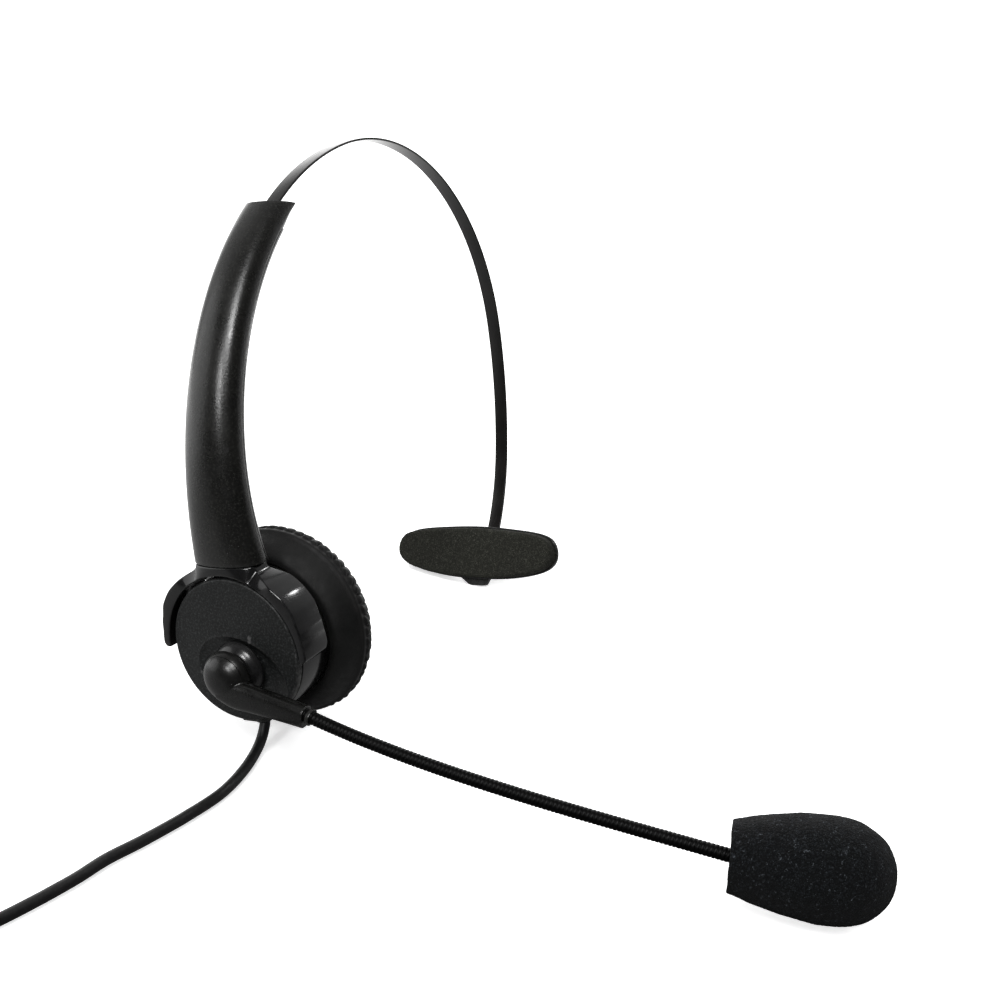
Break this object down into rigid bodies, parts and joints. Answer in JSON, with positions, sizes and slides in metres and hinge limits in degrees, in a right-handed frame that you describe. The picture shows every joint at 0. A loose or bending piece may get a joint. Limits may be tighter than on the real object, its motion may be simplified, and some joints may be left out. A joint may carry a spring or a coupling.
{
  "type": "headset",
  "caption": "Single-ear office headset with a thin spring band, T-shaped temple pad, cushioned ear cup and a swinging gooseneck boom microphone with a foam windscreen",
  "frame": {"origin": "lowest point of the ear cushion's flat contact ring, midway across the ring's width, with the headset standing on a table", "axes": "+X leaves the ear cushion's contact face towards the head; -Y is the way the boom points; +Z is the table's normal, and the headband's plane leans 12 degrees from it towards +Y"},
  "size_m": [0.2981, 0.2066, 0.1543],
  "materials": {
    "satin_plastic": "fine satin moulded plastic",
    "gloss_plastic": "polished black plastic",
    "spring_steel": "black coated spring steel",
    "leatherette": "soft black leatherette",
    "foam": "open-cell black foam",
    "steel": "bright steel",
    "brass": "plated contact metal",
    "white_plastic": "plain low-friction plastic",
    "board_green": "circuit board",
    "cable_jacket": "smooth black cable jacket",
    "clear_plastic": "clear plug plastic",
    "felt": "thin acoustic felt",
    "diaphragm_film": "thin film"
  },
  "bodies": {
    "arm": {"arm_outer_shell": "satin_plastic", "arm_inner_cover": "satin_plastic", "arm_screw_1": "steel", "arm_screw_2": "steel", "band_guide": "satin_plastic", "detent_spring": "steel", "yoke": "gloss_plastic"},
    "earcup": {"cup_body": "gloss_plastic", "cup_cover": "satin_plastic", "trunnion_pin_front": "steel", "trunnion_pin_rear": "steel", "speaker_baffle": "satin_plastic", "baffle_screw_1": "steel", "baffle_screw_2": "steel", "baffle_screw_3": "steel", "driver_frame": "white_plastic", "driver_diaphragm": "diaphragm_film", "driver_magnet": "steel", "driver_back_cup": "steel", "terminal_board": "board_green", "ear_cushion_cover": "leatherette", "ear_cushion_foam": "foam", "speaker_felt": "felt", "boom_friction_washer": "steel", "strain_relief": "satin_plastic", "cable": "cable_jacket", "plug_body": "clear_plastic", "plug_contact_1": "brass", "plug_contact_2": "brass", "plug_contact_3": "brass", "plug_contact_4": "brass"},
    "boom": {"boom_arm_outer": "satin_plastic", "boom_arm_inner": "satin_plastic", "boom_pivot_hub": "gloss_plastic", "boom_retaining_ring": "white_plastic", "boom_pivot_screw": "steel", "boom_ferrule": "satin_plastic", "gooseneck_lower": "spring_steel", "gooseneck_core": "steel"},
    "mic": {"gooseneck_upper": "spring_steel", "mic_holder": "satin_plastic", "mic_capsule": "steel", "mic_windscreen": "foam"},
    "band": {"headband_strip": "spring_steel", "band_slider": "white_plastic", "tpad_clip": "satin_plastic"},
    "tpad": {"tpad_foam": "foam", "tpad_plate": "satin_plastic", "tpad_pin": "steel"}
  },
  "joints": [
    {"name": "cup_tilt", "type": "hinge", "parent": "arm", "child": "earcup", "pos_m": [-0.02545, 0.00052, 0.02134], "axis": [0, 0.9781, -0.2079], "range_deg": [-8, 8]},
    {"name": "boom_swing", "type": "hinge", "parent": "earcup", "child": "boom", "pos_m": [-0.03, -0.00192, 0.0142], "axis": [1, 0, 0], "range_deg": [-200, 20]},
    {"name": "mic_bend", "type": "hinge", "parent": "boom", "child": "mic", "pos_m": [-0.0329, -0.07463, 0.00691], "axis": [0, 0.2079, 0.9781], "range_deg": [-30, 30]},
    {"name": "band_adjust", "type": "hinge", "parent": "arm", "child": "band", "pos_m": [0.0664, 0.00736, 0.05353], "axis": [0, 0.9781, -0.2079], "range_deg": [-6, 15.5]},
    {"name": "tpad_swivel", "type": "hinge", "parent": "band", "child": "tpad", "pos_m": [0.11385, -0.00344, 0.00271], "axis": [0, 0.9781, -0.2079], "range_deg": [-12, 12]}
  ]
}
